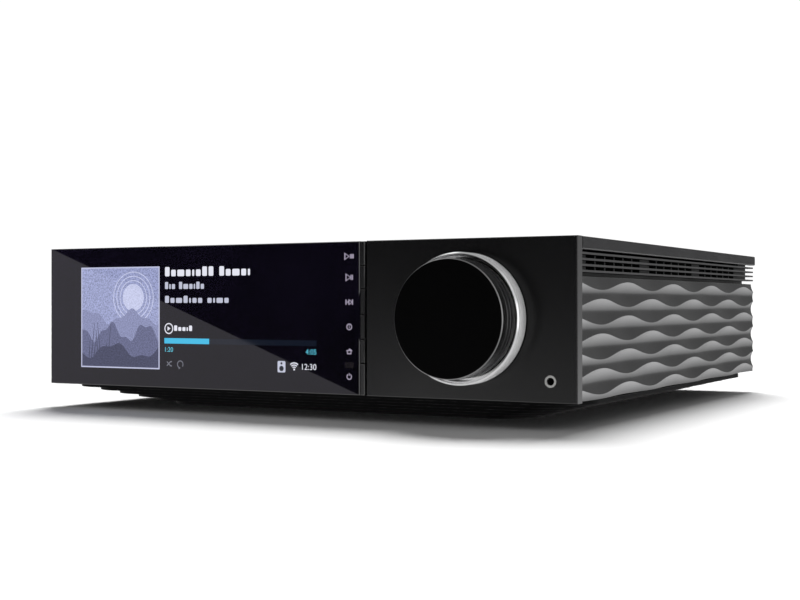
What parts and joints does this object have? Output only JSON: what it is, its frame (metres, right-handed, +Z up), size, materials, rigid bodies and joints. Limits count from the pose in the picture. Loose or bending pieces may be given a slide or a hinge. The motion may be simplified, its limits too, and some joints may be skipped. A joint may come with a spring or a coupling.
{
  "type": "streaming amplifier",
  "caption": "Compact two-tone streaming amplifier with a wide display, concentric volume and source knob, side keys, wave-fluted magnetic side panels and a stepped plinth.",
  "frame": {"origin": "centre of the whole envelope's footprint, on the surface that the feet stand on", "axes": "+Z up, +X to the right seen from the front, +Y from the front to the rear"},
  "size_m": [0.317, 0.352, 0.089],
  "materials": {
    "plinth_plastic": "fine matt moulding",
    "foot_rubber": "matt rubber",
    "tray_paint": "black powder coat",
    "magnet_plate": "nickel-plated magnet",
    "panel_aluminium": "blasted and anodised, faint lengthwise grain",
    "keeper_steel": "plain steel",
    "grille_aluminium": "black anodised",
    "cover_paint": "satin dark grey",
    "front_metal": "satin black",
    "cover_glass": "polished black-printed glass",
    "carrier_plastic": "black moulding",
    "display_panel": "display film",
    "ribbon_film": "amber film",
    "board_laminate": "solder mask",
    "switch_plastic": "moulded",
    "button_plastic": "satin black with printed marks",
    "jack_metal": "nickel-plated",
    "encoder_metal": "plain steel",
    "ring_aluminium": "fine knurl with a polished bevel",
    "disc_metal": "satin black",
    "rear_paint": "black powder coat",
    "inlet_plastic": "black moulding",
    "stud_plate": "gold-plated",
    "collar_metal": "gold-plated",
    "cap_red": "clear-cast red",
    "cap_black": "clear-cast black",
    "port_metal": "tin-plated",
    "optical_plastic": "black moulding",
    "standoff_brass": "plain",
    "module_can": "tin-plated",
    "core_ferrite": "ferrite and tape",
    "capacitor_can": "sleeved",
    "sink_aluminium": "plain extrusion"
  },
  "bodies": {
    "chassis": {"base_plinth": "plinth_plastic", "rubber_feet": "foot_rubber", "bottom_tray": "tray_paint", "front_subframe": "tray_paint", "chassis_magnets": "magnet_plate", "vent_grille_right": "grille_aluminium", "vent_grille_left": "grille_aluminium", "top_cover": "cover_paint", "front_plate": "front_metal", "display_glass": "cover_glass", "display_carrier": "carrier_plastic", "phono_block": "carrier_plastic", "terminal_block": "carrier_plastic", "lcd_module": "display_panel", "display_ribbon": "ribbon_film", "front_board": "board_laminate", "main_board": "board_laminate", "power_supply_board": "board_laminate", "amplifier_board": "board_laminate", "tact_switches": "switch_plastic", "headphone_jack": "jack_metal", "volume_encoder": "encoder_metal", "rear_panel": "rear_paint", "mains_inlet": "inlet_plastic", "terminal_studs": "stud_plate", "phono_barrels": "stud_plate", "aerial_connectors": "stud_plate", "hdmi_port": "port_metal", "usb_port": "port_metal", "ethernet_port": "port_metal", "optical_port": "optical_plastic", "board_standoffs": "standoff_brass", "streaming_module": "module_can", "supply_transformer": "core_ferrite", "supply_capacitors": "capacitor_can", "heat_sink": "sink_aluminium"},
    "volume_knob": {"volume_ring": "ring_aluminium"},
    "select_knob": {"select_disc": "disc_metal", "select_shaft": "encoder_metal"},
    "rocker": {"power_rocker": "inlet_plastic"},
    "panel_right": {"side_panel_right": "panel_aluminium", "panel_keepers_right": "keeper_steel"},
    "panel_left": {"side_panel_left": "panel_aluminium", "panel_keepers_left": "keeper_steel"},
    "key_play": {"button_play": "button_plastic"},
    "key_playpause": {"button_playpause": "button_plastic"},
    "key_skip": {"button_skip": "button_plastic"},
    "key_info": {"button_info": "button_plastic"},
    "key_home": {"button_home": "button_plastic"},
    "key_power": {"button_power": "button_plastic"},
    "collar_1": {"post_collar_1": "collar_metal"},
    "cap_1": {"post_cap_1": "cap_red"},
    "collar_2": {"post_collar_2": "collar_metal"},
    "cap_2": {"post_cap_2": "cap_black"},
    "collar_3": {"post_collar_3": "collar_metal"},
    "cap_3": {"post_cap_3": "cap_red"},
    "collar_4": {"post_collar_4": "collar_metal"},
    "cap_4": {"post_cap_4": "cap_black"}
  },
  "joints": [
    {"name": "volume_turn", "type": "hinge", "parent": "chassis", "child": "volume_knob", "pos_m": [0.1029, -0.156, 0.0512], "axis": [0, 1, 0], "continuous": true},
    {"name": "select_turn", "type": "hinge", "parent": "chassis", "child": "select_knob", "pos_m": [0.1029, -0.156, 0.0512], "axis": [0, 1, 0], "continuous": true},
    {"name": "play_press", "type": "slide", "parent": "chassis", "child": "key_play", "axis": [0, 1, 0], "range_m": [0, 0.0005], "stiffness_N_per_m": 800, "springref_m": -0.001},
    {"name": "playpause_press", "type": "slide", "parent": "chassis", "child": "key_playpause", "axis": [0, 1, 0], "range_m": [0, 0.0005], "stiffness_N_per_m": 800, "springref_m": -0.001},
    {"name": "skip_press", "type": "slide", "parent": "chassis", "child": "key_skip", "axis": [0, 1, 0], "range_m": [0, 0.0005], "stiffness_N_per_m": 800, "springref_m": -0.001},
    {"name": "info_press", "type": "slide", "parent": "chassis", "child": "key_info", "axis": [0, 1, 0], "range_m": [0, 0.0005], "stiffness_N_per_m": 800, "springref_m": -0.001},
    {"name": "home_press", "type": "slide", "parent": "chassis", "child": "key_home", "axis": [0, 1, 0], "range_m": [0, 0.0005], "stiffness_N_per_m": 800, "springref_m": -0.001},
    {"name": "power_press", "type": "slide", "parent": "chassis", "child": "key_power", "axis": [0, 1, 0], "range_m": [0, 0.0005], "stiffness_N_per_m": 800, "springref_m": -0.001},
    {"name": "rocker_tilt", "type": "hinge", "parent": "chassis", "child": "rocker", "pos_m": [-0.11602, 0.1603, 0.0605], "axis": [1, 0, 0], "range_deg": [0, 16]},
    {"name": "post_1_travel", "type": "slide", "parent": "chassis", "child": "collar_1", "axis": [0, 1, 0], "range_m": [0, 0.005]},
    {"name": "post_1_turn", "type": "hinge", "parent": "collar_1", "child": "cap_1", "pos_m": [-0.01807, 0.162, 0.05], "axis": [0, 1, 0], "range_deg": [0, 1800]},
    {"name": "post_2_travel", "type": "slide", "parent": "chassis", "child": "collar_2", "axis": [0, 1, 0], "range_m": [0, 0.005]},
    {"name": "post_2_turn", "type": "hinge", "parent": "collar_2", "child": "cap_2", "pos_m": [-0.03709, 0.162, 0.05], "axis": [0, 1, 0], "range_deg": [0, 1800]},
    {"name": "post_3_travel", "type": "slide", "parent": "chassis", "child": "collar_3", "axis": [0, 1, 0], "range_m": [0, 0.005]},
    {"name": "post_3_turn", "type": "hinge", "parent": "collar_3", "child": "cap_3", "pos_m": [-0.05611, 0.162, 0.05], "axis": [0, 1, 0], "range_deg": [0, 1800]},
    {"name": "post_4_travel", "type": "slide", "parent": "chassis", "child": "collar_4", "axis": [0, 1, 0], "range_m": [0, 0.005]},
    {"name": "post_4_turn", "type": "hinge", "parent": "collar_4", "child": "cap_4", "pos_m": [-0.07513, 0.162, 0.05], "axis": [0, 1, 0], "range_deg": [0, 1800]},
    {"name": "panel_right_pull", "type": "slide", "parent": "chassis", "child": "panel_right", "axis": [1, 0, 0], "range_m": [0, 0.03]},
    {"name": "panel_left_pull", "type": "slide", "parent": "chassis", "child": "panel_left", "axis": [-1, 0, 0], "range_m": [0, 0.03]}
  ],
  "couplings": [
    {"joint": "post_1_travel", "follows": "post_1_turn", "m_per_rad": 0.00015915},
    {"joint": "post_2_travel", "follows": "post_2_turn", "m_per_rad": 0.00015915},
    {"joint": "post_3_travel", "follows": "post_3_turn", "m_per_rad": 0.00015915},
    {"joint": "post_4_travel", "follows": "post_4_turn", "m_per_rad": 0.00015915}
  ]
}
